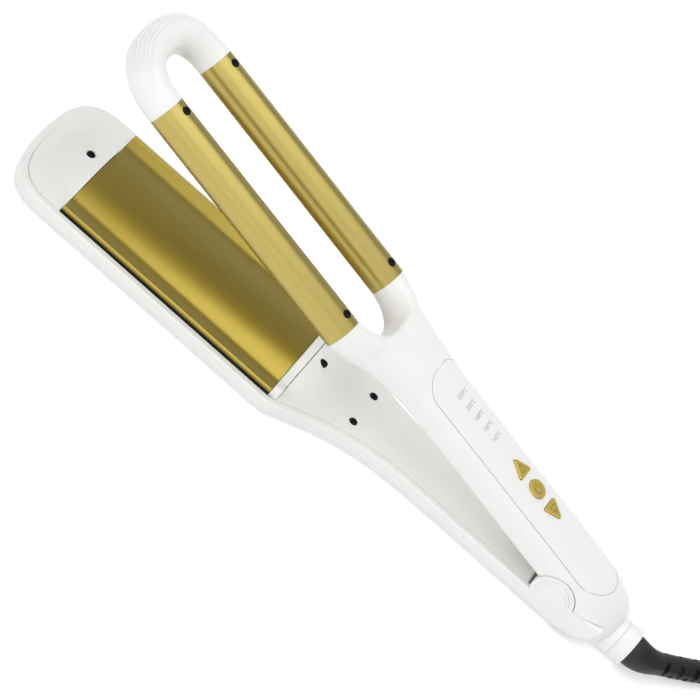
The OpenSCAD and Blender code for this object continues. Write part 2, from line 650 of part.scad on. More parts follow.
// Panel outline: round at the tail, rounded corners towards the barrels
module panel_prism(x0, x1, half, low, high) translate([0, 0, low]) linear_extrude(high - low) {
  r = half * 0.72;
  translate([x0 + half, 0]) circle(r = half, $fn = 128);
  translate([x0 + half, -half]) square([x1 - x0 - half - r, 2 * half]);
  translate([x1 - r - 1, -half + r]) square([r + 1, 2 * half - 2 * r]);
  for (y = [-half + r, half - r]) translate([x1 - r, y]) circle(r = r, $fn = 96);
}
module panel_skin(inset) both_sides() skin([for (x = handle_xs) if (x < crotch_x - 12) half_ring(x, inset)]);
corner_r = 0.9;
button_x = [power_reach + button_pitch, power_reach, power_reach - button_pitch];
module triangle_2d(r, dir) polygon([for (a = [0, 120, 240], b = [-60:20:60])
  let (c = (r + 0.7 - corner_r) * [cos(a), sin(a)] + corner_r * [cos(a + b), sin(a + b)]) [c.x * dir, c.y]]);
module button_outline(i, g) translate([button_x[i], 0])
  if (i == 1) circle(r = button_d / 2 + g, $fn = 96);
  else triangle_2d(button_d / 2 + 2 * g, i == 0 ? 1 : -1);
module control_panel() color(white) handle_arm() difference() {
  intersection() {
    panel_prism(panel_x0, panel_x1, panel_half, bay_top - 0.2, 30);
    difference() {
      panel_skin(0);
      panel_skin(panel_t);
    }
  }
  translate([0, 0, panel_under - 5]) linear_extrude(20) for (i = [0:2]) button_outline(i, button_gap);
}
module button(i) color(button_gold) handle_arm() {
  top = handle_top + button_proud;
  translate([0, 0, flange_low]) linear_extrude(top - flange_low) button_outline(i, 0);
  translate([0, 0, flange_low]) linear_extrude(flange_t) button_outline(i, flange_lip);
  translate([button_x[i], 0, plunger_low]) cylinder(r = 1.5, h = 1, $fn = 48);
}
module button_up() button(0);
module button_power() button(1);
module button_down() button(2);

module control_board() color(board_green) handle_arm() difference() {
  block([board_x0, board_x1], [-board_half, board_half], [board_z - board_t, board_z]);
  under_screw_spots() translate([0, 0, 4]) cylinder(r = screw_shank_r + touch_gap, h = 30, $fn = 32);
}
module tact_switches() color(black) handle_arm() for (x = button_x) {
  body_top = switch_top - 1.2;
  block([x - 3, x + 3], [-3, 3], [board_z + touch_gap, body_top]);
  translate([x, 0, body_top - 0.1]) cylinder(r = 1.4, h = 1.1, $fn = 48);
}
module indicator_leds() color(amber) handle_arm() for (i = [0:mark_count - 1])
  translate([mark_x0 + i * mark_pitch, led_y, 0]) {
    translate([0, 0, board_z + touch_gap]) cylinder(r = led_r + 0.3, h = 0.8, $fn = 32);
    translate([0, 0, board_z + touch_gap]) cylinder(r = led_r, h = 3.6, $fn = 32);
  }
module mains_capacitor() color(amber) handle_arm()
  block([board_x0 + 36, board_x0 + 54], [-4, 4], [bay_floor + 0.6, board_z - board_t - touch_gap]);

module under_screw_spots() for (x = [under_x0 + 6, under_x1 - 6], s = [-1, 1])
  translate([x, s * (under_half - 4), -handle_under]) children();
module under_cover() color(white) handle_arm() difference() {
  union() {
    intersection() {
      rounded_prism(under_x0, under_x1, under_half, 4, -rest_depth, bay_floor);
      panel_skin(0);
    }
    under_screw_spots() translate([0, 0, 1]) cylinder(r = 2.6, h = board_z - board_t - touch_gap + handle_under - 1, $fn = 48);
  }
  under_screw_spots() translate([0, 0, 0.2]) mirror([0, 0, 1]) screw_hole(screw_head_r, screw_shank_r, screw_hole_len);
}
module under_cover_screws() color(black) handle_arm()
  under_screw_spots() translate([0, 0, 0.2]) mirror([0, 0, 1])
    screw(screw_head_r, screw_shank_r, board_z + handle_under + 0.4);

// ---- barrels and tip ----------------------------------------------------------------

screw_seat = barrel_r + 0.35;
screw_xs = [root_reach + barrel_screw_in, barrel_end - barrel_screw_in + 1.2];
module barrel_tube() difference() {
  along(barrel_r, root_reach + touch_gap, barrel_end - touch_gap);
  along(bore_r, root_reach - 1, barrel_end + 1);
  for (x = screw_xs) translate([x, 0, screw_seat]) screw_hole(screw_head_r, screw_shank_r, 4);
}
module barrel_near() color(gold) handle_arm() translate([0, -half_spacing, barrel_rise]) barrel_tube();
module barrel_far() color(gold) handle_arm() translate([0, half_spacing, barrel_rise]) barrel_tube();
module barrel_sleeves() color(black) handle_arm() each_barrel() for (end = [0, 1]) {
  x = end == 0 ? root_reach : barrel_end;
  d = end == 0 ? 1 : -1;
  difference() {
    union() {
      along(sleeve_r, x + d * touch_gap, x + d * sleeve_in);
      along(spigot_r, x - d * (spigot_len - 0.2), x + d);
    }
    along(sleeve_wire_r, x - d * spigot_len, x + d * (sleeve_in + 1));
    translate([screw_xs[end], 0, screw_seat]) screw_hole(screw_head_r, screw_shank_r, 4);
  }
}
module barrel_heaters() color(steel) handle_arm() each_barrel() intersection() {
  along(sleeve_r, root_reach + sleeve_in + 4, barrel_end - sleeve_in - 4);
  block([root_reach, barrel_end], [-barrel_r, barrel_r], [-2.6, 2.6]);
}
module barrel_screws() color(black) handle_arm() each_barrel() for (x = screw_xs)
  translate([x, 0, screw_seat]) screw(screw_head_r, screw_shank_r, 3.5);

function cap_r_at(a) = barrel_r + 0.45 * pow(sin(2 * min(abs(a), 90)), 2);
module tip_cap() color(white) handle_arm() {
  turns = [-90, -88.8, -87, -84.5, -81, -77, -72, -66, -60, -54, -48, -42, -36, -30, -24, -18, -13, -9, -5.5, -3, -1.2, 0];
  all = concat(turns, [for (i = [len(turns) - 2:-1:0]) -turns[i]]);
  difference() {
    skin([for (a = all)
      let (c = cap_point(a), n = cap_normal(a), r = cap_r_at(a))
      [for (k = [0:27]) let (t = 360 * k / 28) c + r * (cos(t) * n - sin(t) * [0, 0, 1])]]);
    each_barrel() along(spigot_r + touch_gap, barrel_end - 1, barrel_end + spigot_len);
    each_barrel() along(sleeve_wire_r, barrel_end - 1, barrel_end + spigot_len + 3);
  }
  // Fine ribs along the outer top of the cap
  for (k = [0:rib_count - 1]) let (tilt = rib_tilt + k * rib_step)
    skin([for (a = [-56:7:56])
      let (c = cap_point(a), n = cap_normal(a), r = cap_r_at(a) - 0.25 + rib_h * cos(a * 90 / 56),
           m = c + r * (cos(tilt) * n + sin(tilt) * [0, 0, 1]))
      [for (q = [0:5]) m + rib_r * (cos(60 * q) * n - sin(60 * q) * [0, 0, 1])]]);
}

// ---- cord end -----------------------------------------------------------------------

module tail_collar() color(white) handle_arm() difference() {
  union() {
    neck_part(collar_r, neck_x1 - joint_gap, collar_x1);
    neck_part(neck_bore_r - touch_gap, neck_x1 + 6, neck_x1 - 1);
  }
  neck_part(bush_r + 0.4, neck_x1 + 7, collar_x1 + 4.6);
  neck_part(bush_r - 0.6, neck_x1, collar_x1 - 1);
}
module swivel_bush() color(black) handle_arm() difference() {
  union() {
    neck_part(bush_r, neck_x1 + 5, collar_x1 + 4.9);
    neck_part(bush_r - 0.65, neck_x1, collar_x1 - 0.3);
  }
  neck_part(cord_r + touch_gap, neck_x1 + 6, collar_x1 - 1);
}

// Strain relief: bell at the collar, slotted sleeve, thin end
function boot_r_at(t) = t < 0.35 ? mix(boot_d / 2, boot_mid_r, smooth(t / 0.35))
  : t < 0.8 ? boot_mid_r : mix(boot_mid_r, boot_end_r, (t - 0.8) / 0.2);
boot_n = len(boot_route) - 1;
module strain_relief() color(black) difference() {
  skin(route_rings(boot_route, [for (i = [0:boot_n]) boot_r_at(i / boot_n)], 24));
  for (i = [4:10]) let (d = route_dir(boot_route, i))
    translate(boot_route[i]) rotate([0, 0, atan2(d.y, d.x)]) rotate([i % 2 * 90, 0, 0])
      for (s = [-1, 1]) translate([0, 0, s * boot_r_at(i / boot_n)]) cube([1.7, 7, 3.2], center = true);
}
module cord_lead() color(black) skin(route_rings(lead_route, [for (p = lead_route) cord_r], 12));
module cord_tail() color(black) skin(route_rings(tail_route, [for (p = tail_route) cord_r], 12));

// Wound cord: four turns on the table, three in the grooves above
module cord_coil() color(black) translate([coil_x, coil_y, coil_z]) rotate_extrude($fn = 96) {
  r = cord_r + 0.05;
  for (i = [-1.5:1.5]) translate([coil_turn_r + i * cord_d, r]) circle(r = r, $fn = 24);
  for (i = [-1:1]) translate([coil_turn_r + i * cord_d, coil_high]) circle(r = r, $fn = 24);
  translate([coil_turn_r, 0]) polygon([for (p = [[-1.5, r], [1.5, r], [1, coil_high], [-1, coil_high]]) [p.x * cord_d, p.y]]);
}
module cord_tie() color(black) translate([coil_x, coil_y, 0]) difference() {
  inner = coil_turn_r - 2 * cord_d - 1;
  outer = coil_turn_r + 2 * cord_d + 0.15;
  top = coil_z + coil_high + cord_r + 2 * touch_gap;
  block([-tie_w / 2, tie_w / 2], [inner - tie_t, outer + tie_t], [coil_z - touch_gap - tie_t, top + tie_t]);
  block([-tie_w, tie_w], [inner, outer], [coil_z - touch_gap, top]);
}

// Flat two-pin plug
plug_at = tail_route[len(tail_route) - 1] - [0, touch_gap, 0];
module plug() color(black) translate(plug_at) rotate([90, 0, 0]) difference() {
  union() {
    cylinder(r1 = cord_r + 0.9, r2 = cord_r + 2.4, h = plug_relief_len + 0.5, $fn = 64);
    translate([0, 0, plug_relief_len]) linear_extrude(plug_len) {
      square([plug_w - 2 * plug_corner_r, plug_h], center = true);
      square([plug_w, plug_h - 2 * plug_corner_r], center = true);
      for (x = [-1, 1], z = [-1, 1])
        translate([x * (plug_w / 2 - plug_corner_r), z * (plug_h / 2 - plug_corner_r)]) circle(r = plug_corner_r, $fn = 64);
    }
  }
  for (s = [-1, 1]) translate([s * plug_pin_spacing / 2, 0, plug_relief_len + plug_len - 8])
    cylinder(r = plug_pin_d / 2 + 0.01, h = 20, $fn = 48);
}
module plug_pins() color(steel) translate(plug_at) rotate([90, 0, 0])
  for (s = [-1, 1]) translate([s * plug_pin_spacing / 2, 0, plug_relief_len + plug_len - 7.9])
    cylinder(r = plug_pin_d / 2, h = plug_pin_len + 7.9, $fn = 48);

lower_shell();
inner_cover();
tip_insert();
root_strip();
wave_plate();
plate_frame();
plate_heater();
heater_clamp();
thermal_fuse();
cover_screws();
tip_screw();
upper_shell();
under_cover();
under_cover_screws();
control_panel();
control_board();
indicator_leds();
tact_switches();
mains_capacitor();
button_up();
button_power();
button_down();
barrel_near();
barrel_far();
barrel_sleeves();
barrel_heaters();
barrel_screws();
tip_cap();
hinge_pin();
hinge_cap_near();
hinge_cap_far();
hinge_washers();
hinge_spring();
tail_collar();
swivel_bush();
strain_relief();
cord_lead();
cord_coil();
cord_tail();
cord_tie();
plug();
plug_pins();
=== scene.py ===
import json
import math

import bmesh
import bpy
from mathutils import Matrix, Vector
from mathutils.bvhtree import BVHTree
from mathutils.geometry import convex_hull_2d


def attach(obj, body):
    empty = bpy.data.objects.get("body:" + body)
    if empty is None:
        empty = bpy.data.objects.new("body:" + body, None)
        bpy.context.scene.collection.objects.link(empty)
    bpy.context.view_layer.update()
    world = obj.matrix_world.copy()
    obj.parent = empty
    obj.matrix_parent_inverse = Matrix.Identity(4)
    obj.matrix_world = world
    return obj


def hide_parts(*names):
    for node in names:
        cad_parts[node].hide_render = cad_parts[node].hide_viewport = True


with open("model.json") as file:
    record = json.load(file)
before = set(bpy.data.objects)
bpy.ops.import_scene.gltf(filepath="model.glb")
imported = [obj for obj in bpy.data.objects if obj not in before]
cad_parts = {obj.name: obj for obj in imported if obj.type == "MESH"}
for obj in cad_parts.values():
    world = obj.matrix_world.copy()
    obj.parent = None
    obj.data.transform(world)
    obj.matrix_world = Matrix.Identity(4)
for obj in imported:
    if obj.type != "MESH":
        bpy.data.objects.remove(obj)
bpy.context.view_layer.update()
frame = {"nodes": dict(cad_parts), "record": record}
nodes = frame["nodes"]
mm = 0.001  # one millimetre in the scene's metres
axisHeight = 16  # hinge axis above the table, in millimetres


# camera
cameraSet = {
    "place": (-0.16926, -1.27667, 1.09252),
    "right": (0.7482, 0.4130, 0.5192),
    "up": (-0.6632, 0.4882, 0.5673),
    "lens": 195.57,
    "sensor": 36.0,
    "near": 0.05,
    "far": 20,
}


def makeCamera(values):
    data = bpy.data.cameras.new("studioCamera")
    camera = bpy.data.objects.new("studioCamera", data)
    bpy.context.scene.collection.objects.link(camera)
    right = Vector(values["right"]).normalized()
    up = Vector(values["up"])
    back = right.cross(up).normalized()
    up = back.cross(right)
    turn = Matrix((right, up, back)).transposed().to_4x4()
    camera.matrix_world = Matrix.Translation(values["place"]) @ turn
    data.lens = values["lens"]
    data.sensor_width = values["sensor"]
    data.clip_start = values["near"]
    data.clip_end = values["far"]
    bpy.context.scene.camera = camera


makeCamera(cameraSet)
print("camera placed")


# mains cord: same route points as the solids, in millimetres
cordSet = {
    "diameter": 6.5,
    "length": 1.52,
    "boot": [(43, 0, 9.75), (46, 0, 9.75), (49, 0.6, 9.65), (52, 2, 9.4), (55, 4.2, 9), (58, 6.9, 8.5),
             (62, 10.6, 7.8), (66, 14.5, 7.2), (70, 18.4, 6.6), (74, 22.3, 6.1), (78, 26.2, 5.6),
             (82, 30, 5)],
    "lead": [(86, 33.8, 4.4), (90, 37.6, 3.8), (95, 42.3, 3.5), (100, 46.9, 3.6), (104.6, 51.2, 3.9)],
    "tail": [(149.3, 63.6, 9.8), (155.1, 62.7, 10.25), (161.4, 62, 10.8), (168.3, 61.1, 10.7),
             (175.7, 59.5, 9.4), (183.4, 56.8, 7.4), (191, 52.6, 5.6), (197.9, 46.8, 4.6),
             (203.4, 39.6, 4.6), (207.2, 31.1, 5.6), (208.5, 24.5, 6.7), (208.5, 19, 6.9)],
    "coilMiddle": (140.5, 22),
    "turnRadius": 36,
    "coilLift": 0.95,
    "joinAngle": 133.8,
    "leaveAngle": 84,
    "lowTurns": 4,
    "highTurns": 3,
    "crossing": 132,
    "step": 12,
    "grooveLean": 60,
    "grooveRise": 0.866,  # rises are shares of the diameter
    "crossRise": 0.134,
    "climbSpare": 1.02,
    "roundness": 6,
    "smoothness": 4,
}


def smoothStep(t):
    t = min(1, max(0, t))
    return t * t * (3 - 2 * t)


def woundPoints(values):
    # a low layer of turns wound inwards, then a high layer wound outwards in the grooves of the first
    d = values["diameter"]
    low = values["coilLift"] + d / 2
    high = low + values["grooveRise"] * d
    lowTurns, highTurns = values["lowTurns"], values["highTurns"]
    lowRings = [values["turnRadius"] + ((lowTurns - 1) / 2 - i) * d for i in range(lowTurns)]
    highRings = [values["turnRadius"] + (i - (highTurns - 1) / 2) * d for i in range(highTurns)]
    start, step, crossing = values["joinAngle"], values["step"], values["crossing"]
    points = []

    def put(turned, radius, height):
        a = math.radians(start - turned)
        cx, cy = values["coilMiddle"]
        points.append((cx + radius * math.cos(a), cy + radius * math.sin(a), height))

    total = 360 * lowTurns
    for turned in range(0, total - crossing, step):
        ring, at = divmod(turned, 360)
        radius = lowRings[ring]
        if at > 360 - crossing:
            radius += (lowRings[ring + 1] - radius) * smoothStep((at - 360 + crossing) / crossing)
        put(turned, radius, low)
    # climb round the last low turn but one, into the groove above
    for k in range(0, crossing + 1, step):
        lean = math.radians(values["grooveLean"]) * smoothStep(k / crossing)
        rise = d * math.sin(lean) * values["climbSpare"]
        put(total - crossing + k, lowRings[-2] - d * math.cos(lean), low + rise)
    lastTurned = int(start - values["leaveAngle"]) + 360 * (highTurns - 1)
    for turned in range(step, lastTurned + 1, step):
        ring, at = divmod(turned, 360)
        radius, height = highRings[ring], high
        if at > 360 - crossing:
            share = (at - 360 + crossing) / crossing
            radius += (highRings[ring + 1] - radius) * smoothStep(share)
            height += values["crossRise"] * d * math.sin(math.pi * share)
        put(total + turned, radius, height)
    return points


def makeTube(name, points, values):
    curve = bpy.data.curves.new(name, "CURVE")
    curve.dimensions = "3D"
    spline = curve.splines.new("NURBS")
    spline.points.add(len(points) - 1)
    for target, p in zip(spline.points, points):
        target.co = (p[0] * mm, p[1] * mm, p[2] * mm, 1)
        target.radius = values["diameter"] / 2 * mm  # times the bevel depth of one
    spline.order_u = 4
    spline.use_endpoint_u = True
    curve.resolution_u = values["smoothness"]
    curve.bevel_depth = 1
    curve.bevel_resolution = values["roundness"]
    curve.use_fill_caps = True
    tube = bpy.data.objects.new(name, curve)
    bpy.context.scene.collection.objects.link(tube)
    return tube


cordRoute = cordSet["boot"] + cordSet["lead"] + woundPoints(cordSet) + cordSet["tail"]
mainsCord = makeTube("mainsCord", cordRoute, cordSet)
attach(mainsCord, "cord_end")
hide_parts("cord_lead", "cord_coil", "cord_tail")
print("cord laid")


# shader groups that the finishes share
def newGroup(name, inputs, outputs):
    group = bpy.data.node_groups.new(name, "ShaderNodeTree")
    for label, kind, start in inputs:
        socket = group.interface.new_socket(label, in_out="INPUT", socket_type=kind)
        if start is not None:
            socket.default_value = start
    for label, kind in outputs:
        group.interface.new_socket(label, in_out="OUTPUT", socket_type=kind)
    entry = group.nodes.new("NodeGroupInput")
    leave = group.nodes.new("NodeGroupOutput")
    return group, entry, leave


def addNode(tree, kind, **settings):
    node = tree.nodes.new(kind)
    for key, value in settings.items():
        setattr(node, key, value)
    return node


mouldedSet = {"fineDetail": 3, "broadScale": 28, "broadDetail": 4, "noiseMiddle": 0.5}


def makeMouldedSkin(values):
    # fine texture of moulded plastic: height and roughness that vary over the surface
    group, entry, leave = newGroup(
        "mouldedSkin",
        [("Scale", "NodeSocketFloat", 900), ("Roughness", "NodeSocketFloat", 0.3),
         ("Variation", "NodeSocketFloat", 0.06)],
        [("Height", "NodeSocketFloat"), ("Roughness", "NodeSocketFloat"), ("Patches", "NodeSocketFloat")])
    place = addNode(group, "ShaderNodeTexCoord")
    fine = addNode(group, "ShaderNodeTexNoise")
    fine.inputs["Detail"].default_value = values["fineDetail"]
    broad = addNode(group, "ShaderNodeTexNoise")
    broad.inputs["Scale"].default_value = values["broadScale"]
    broad.inputs["Detail"].default_value = values["broadDetail"]
    links = group.links
    links.new(place.outputs["Object"], fine.inputs["Vector"])
    links.new(place.outputs["Object"], broad.inputs["Vector"])
    links.new(entry.outputs["Scale"], fine.inputs["Scale"])
    centred = addNode(group, "ShaderNodeMath", operation="SUBTRACT")
    centred.inputs[1].default_value = values["noiseMiddle"]
    spread = addNode(group, "ShaderNodeMath", operation="MULTIPLY_ADD")
    links.new(broad.outputs["Fac"], centred.inputs[0])
    links.new(centred.outputs[0], spread.inputs[0])
    links.new(entry.outputs["Variation"], spread.inputs[1])
    links.new(entry.outputs["Roughness"], spread.inputs[2])
    links.new(fine.outputs["Fac"], leave.inputs["Height"])
    links.new(spread.outputs[0], leave.inputs["Roughness"])
    links.new(broad.outputs["Fac"], leave.inputs["Patches"])
    return group


grainSet = {"detail": 2, "streakStretch": (12, 900, 900), "streakScale": 1, "noiseMiddle": 0.5}


def makeSatinGrain(values):
    # blasted and coated metal: a fine even grain with faint lengthwise streaks
    group, entry, leave = newGroup(
        "satinGrain",
        [("Grain", "NodeSocketFloat", 2600), ("Streak", "NodeSocketFloat", 0.25),
         ("Roughness", "NodeSocketFloat", 0.36), ("Variation", "NodeSocketFloat", 0.08)],
        [("Height", "NodeSocketFloat"), ("Roughness", "NodeSocketFloat"), ("Tone", "NodeSocketFloat")])
    place = addNode(group, "ShaderNodeTexCoord")
    grain = addNode(group, "ShaderNodeTexNoise")
    grain.inputs["Detail"].default_value = values["detail"]
    stretch = addNode(group, "ShaderNodeMapping")
    stretch.inputs["Scale"].default_value = values["streakStretch"]
    streak = addNode(group, "ShaderNodeTexNoise")
    streak.inputs["Scale"].default_value = values["streakScale"]
    streak.inputs["Detail"].default_value = values["detail"]
    mix = addNode(group, "ShaderNodeMix", data_type="FLOAT")
    links = group.links
    links.new(place.outputs["Object"], grain.inputs["Vector"])
    links.new(entry.outputs["Grain"], grain.inputs["Scale"])
    links.new(place.outputs["Object"], stretch.inputs["Vector"])
    links.new(stretch.outputs["Vector"], streak.inputs["Vector"])
    links.new(entry.outputs["Streak"], mix.inputs["Factor"])
    links.new(grain.outputs["Fac"], mix.inputs[2])
    links.new(streak.outputs["Fac"], mix.inputs[3])
    centred = addNode(group, "ShaderNodeMath", operation="SUBTRACT")
    centred.inputs[1].default_value = values["noiseMiddle"]
    spread = addNode(group, "ShaderNodeMath", operation="MULTIPLY_ADD")
    links.new(mix.outputs[0], centred.inputs[0])
    links.new(centred.outputs[0], spread.inputs[0])
    links.new(entry.outputs["Variation"], spread.inputs[1])
    links.new(entry.outputs["Roughness"], spread.inputs[2])
    links.new(mix.outputs[0], leave.inputs["Height"])
    links.new(spread.outputs[0], leave.inputs["Roughness"])
    links.new(streak.outputs["Fac"], leave.inputs["Tone"])
    return group


def makePatchTone():
    # a second tone mixed in by patches, so that no colour lies quite flat
    group, entry, leave = newGroup(
        "patchTone",
        [("Colour", "NodeSocketColor", (0.8, 0.8, 0.8, 1)), ("Shade", "NodeSocketColor", (0.5, 0.5, 0.5, 1)),
         ("Patches", "NodeSocketFloat", 0.5), ("Amount", "NodeSocketFloat", 0.05)],
        [("Colour", "NodeSocketColor")])
    scaled = addNode(group, "ShaderNodeMath", operation="MULTIPLY")
    mix = addNode(group, "ShaderNodeMix", data_type="RGBA")
    links = group.links
    links.new(entry.outputs["Patches"], scaled.inputs[0])
    links.new(entry.outputs["Amount"], scaled.inputs[1])
    links.new(scaled.outputs[0], mix.inputs["Factor"])
    links.new(entry.outputs["Colour"], mix.inputs[6])
    links.new(entry.outputs["Shade"], mix.inputs[7])
    links.new(mix.outputs[2], leave.inputs["Colour"])
    return group


mouldedSkin = makeMouldedSkin(mouldedSet)
satinGrain = makeSatinGrain(grainSet)
patchTone = makePatchTone()


# finishes: colour, patch tone, roughness, coat and the height of the fine texture in millimetres
finishes = {
    "shellWhite": {
        "kind": "plastic", "colour": (0.91, 0.91, 0.895), "shade": (0.80, 0.80, 0.78),
        "rough": 0.34, "coat": 0.12, "scale": 700, "bump": 0.012,
    },
    "panelWhite": {
        "kind": "plastic", "colour": (0.92, 0.92, 0.91), "shade": (0.82, 0.82, 0.81),
        "rough": 0.26, "coat": 0.25, "scale": 500, "bump": 0.008,
    },
    "plateGold": {
        "kind": "metal", "colour": (0.46, 0.37, 0.10), "shade": (0.40, 0.31, 0.075),
        "rough": 0.35, "coat": 0.5, "coatRough": 0.3, "bump": 0.012,
    },
    # a darker copy of the gold for the wavy plate: painted shade, as the plate lies under the barrels and the
    # handle arm
    "shadedWaveGold": {
        "kind": "metal", "colour": (0.41, 0.31, 0.052), "shade": (0.34, 0.25, 0.038),
        "rough": 0.33, "coat": 0.26, "coatRough": 0.25, "bump": 0.012,
    },
    # a brighter copy of the gold for the buttons: painted light on their tops
    "litButtonGold": {
        "kind": "metal", "colour": (0.90, 0.70, 0.15), "shade": (0.74, 0.55, 0.10),
        "rough": 0.38, "coat": 0.3, "coatRough": 0.2, "bump": 0.015,
    },
    # black of the plate's frame, also used for the painted shadow in the gaps beside the plate and behind the
    # root strip
    "frameBlackAndGapShade": {
        "kind": "plastic", "colour": (0.015, 0.015, 0.016), "shade": (0.03, 0.03, 0.03),
        "rough": 0.5, "coat": 0.0, "scale": 900, "bump": 0.05,
    },
    "screwBlack": {
        "kind": "metal", "colour": (0.020, 0.020, 0.022), "shade": (0.05, 0.05, 0.05),
        "rough": 0.42, "bump": 0.03,
    },
    "plainSteel": {
        "kind": "metal", "colour": (0.62, 0.62, 0.63), "shade": (0.45, 0.45, 0.46),
        "rough": 0.3, "bump": 0.02,
    },
    "heaterMetal": {
        "kind": "metal", "colour": (0.70, 0.70, 0.71), "shade": (0.55, 0.55, 0.56),
        "rough": 0.4, "bump": 0.02,
    },
    "boardGreen": {
        "kind": "plastic", "colour": (0.03, 0.16, 0.06), "shade": (0.02, 0.10, 0.04),
        "rough": 0.35, "coat": 0.2, "scale": 400, "bump": 0.02,
    },
    "ledClear": {
        "kind": "plastic", "colour": (0.85, 0.70, 0.40), "shade": (0.7, 0.55, 0.3),
        "rough": 0.15, "coat": 0.3, "scale": 400, "bump": 0.0,
    },
    "partYellow": {
        "kind": "plastic", "colour": (0.60, 0.38, 0.06), "shade": (0.4, 0.25, 0.04),
        "rough": 0.4, "coat": 0.1, "scale": 500, "bump": 0.02,
    },
    "cordBlack": {
        "kind": "plastic", "colour": (0.007, 0.007, 0.0075), "shade": (0.016, 0.016, 0.016),
        "rough": 0.46, "coat": 0.0, "scale": 1200, "bump": 0.06,
    },
    "markGrey": {
        "kind": "plastic", "colour": (0.08, 0.08, 0.085), "shade": (0.12, 0.12, 0.12),
        "rough": 0.5, "coat": 0.0, "scale": 900, "bump": 0.0,
    },
    # grey of the painted shadow lines in gaps
    "gapShadeGrey": {
        "kind": "plastic", "colour": (0.28, 0.28, 0.285), "shade": (0.4, 0.4, 0.4),
        "rough": 0.6, "coat": 0.0, "scale": 900, "bump": 0.0,
    },
    "iconBrown": {
        "kind": "plastic", "colour": (0.16, 0.10, 0.03), "shade": (0.25, 0.17, 0.06),
        "rough": 0.5, "coat": 0.0, "scale": 900, "bump": 0.0,
    },
}
toneAmount = {"metal": 0.35, "plastic": 0.12}
plainCoatRough = 0.2


def makeMaterial(name, values):
    material = bpy.data.materials.new(name)
    material.use_nodes = True
    tree = material.node_tree
    shader = tree.nodes["Principled BSDF"]
    metal = values["kind"] == "metal"
    surface = addNode(tree, "ShaderNodeGroup", node_tree=satinGrain if metal else mouldedSkin)
    surface.inputs["Roughness"].default_value = values["rough"]
    if not metal:
        surface.inputs["Scale"].default_value = values["scale"]
    shader.inputs["Coat Weight"].default_value = values.get("coat", 0)
    shader.inputs["Coat Roughness"].default_value = values.get("coatRough", plainCoatRough)
    shader.inputs["Metallic"].default_value = 1.0 if metal else 0.0
    tone = addNode(tree, "ShaderNodeGroup", node_tree=patchTone)
    tone.inputs["Colour"].default_value = (*values["colour"], 1)
    tone.inputs["Shade"].default_value = (*values["shade"], 1)
    tone.inputs["Amount"].default_value = toneAmount[values["kind"]]
    tree.links.new(surface.outputs["Tone" if metal else "Patches"], tone.inputs["Patches"])
    tree.links.new(tone.outputs["Colour"], shader.inputs["Base Color"])
    tree.links.new(surface.outputs["Roughness"], shader.inputs["Roughness"])
    bump = addNode(tree, "ShaderNodeBump")
    bump.inputs["Strength"].default_value = 1.0
    bump.inputs["Distance"].default_value = values["bump"] * mm
    tree.links.new(surface.outputs["Height"], bump.inputs["Height"])
    tree.links.new(bump.outputs["Normal"], shader.inputs["Normal"])
    return material


materials = {name: makeMaterial(name, values) for name, values in finishes.items()}
print("materials made")


# solids: soft edges and their finishes
slotFinish = {
    "shell_white": "shellWhite",
    "panel_white": "panelWhite",
    "plate_gold": "plateGold",
    # the button tops take the brighter gold: painted light
    "button_gold": "litButtonGold",
    "frame_black": "frameBlackAndGapShade",
    "screw_black": "screwBlack",
    "steel": "plainSteel",
    "heater_metal": "heaterMetal",
    "board_green": "boardGreen",
    "led_clear": "ledClear",
    "part_yellow": "partYellow",
    "cord_black": "cordBlack",
}
smoothSet = {"crispAngle": 32, "weld": 0.00001}


def makeSmoothSkin(values):
    # welds a solid's facets and shades it smooth, with edges above an angle kept crisp
    group = bpy.data.node_groups.new("smoothSkin", "GeometryNodeTree")
    group.interface.new_socket("Geometry", in_out="INPUT", socket_type="NodeSocketGeometry")
    angle = group.interface.new_socket("Angle", in_out="INPUT", socket_type="NodeSocketFloat")
    angle.default_value = math.radians(values["crispAngle"])
    group.interface.new_socket("Geometry", in_out="OUTPUT", socket_type="NodeSocketGeometry")
    entry, leave = group.nodes.new("NodeGroupInput"), group.nodes.new("NodeGroupOutput")
    merge = group.nodes.new("GeometryNodeMergeByDistance")
    merge.inputs["Distance"].default_value = values["weld"]
    smooth = group.nodes.new("GeometryNodeSetShadeSmooth")
    crisp = group.nodes.new("GeometryNodeSetShadeSmooth")
    crisp.domain = "EDGE"
    crisp.inputs["Shade Smooth"].default_value = False
    edge = group.nodes.new("GeometryNodeInputMeshEdgeAngle")
    above = group.nodes.new("FunctionNodeCompare")
    above.operation = "GREATER_THAN"
    links = group.links
    links.new(entry.outputs["Geometry"], merge.inputs["Geometry"])
    links.new(merge.outputs["Geometry"], smooth.inputs["Geometry"])
    links.new(smooth.outputs["Geometry"], crisp.inputs["Geometry"])
    links.new(edge.outputs["Unsigned Angle"], above.inputs[0])
    links.new(entry.outputs["Angle"], above.inputs[1])
    links.new(above.outputs["Result"], crisp.inputs["Selection"])
    links.new(crisp.outputs["Geometry"], leave.inputs["Geometry"])
    return group


smoothSkin = makeSmoothSkin(smoothSet)


def soften(obj):
    skin = obj.modifiers.new("smoothSkin", "NODES")
    skin.node_group = smoothSkin
    even = obj.modifiers.new("evenNormals", "WEIGHTED_NORMAL")
    even.keep_sharp = True


for entry in frame["record"]["subparts"]:
    solid = nodes[entry["node"]]
    solid.data.materials.clear()
    solid.data.materials.append(materials[slotFinish[entry["material_slot"]]])
    soften(solid)
mainsCord.data.materials.append(materials["cordBlack"])
print("solids finished")


def newPiece(name, mesh, material, body, smooth=False):
    bmesh.ops.recalc_face_normals(mesh, faces=mesh.faces)
    data = bpy.data.meshes.new(name)
    mesh.to_mesh(data)
    mesh.free()
    data.materials.append(materials[material])
    piece = bpy.data.objects.new(name, data)
    bpy.context.scene.collection.objects.link(piece)
    if smooth:
        soften(piece)
    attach(piece, body)
    return piece


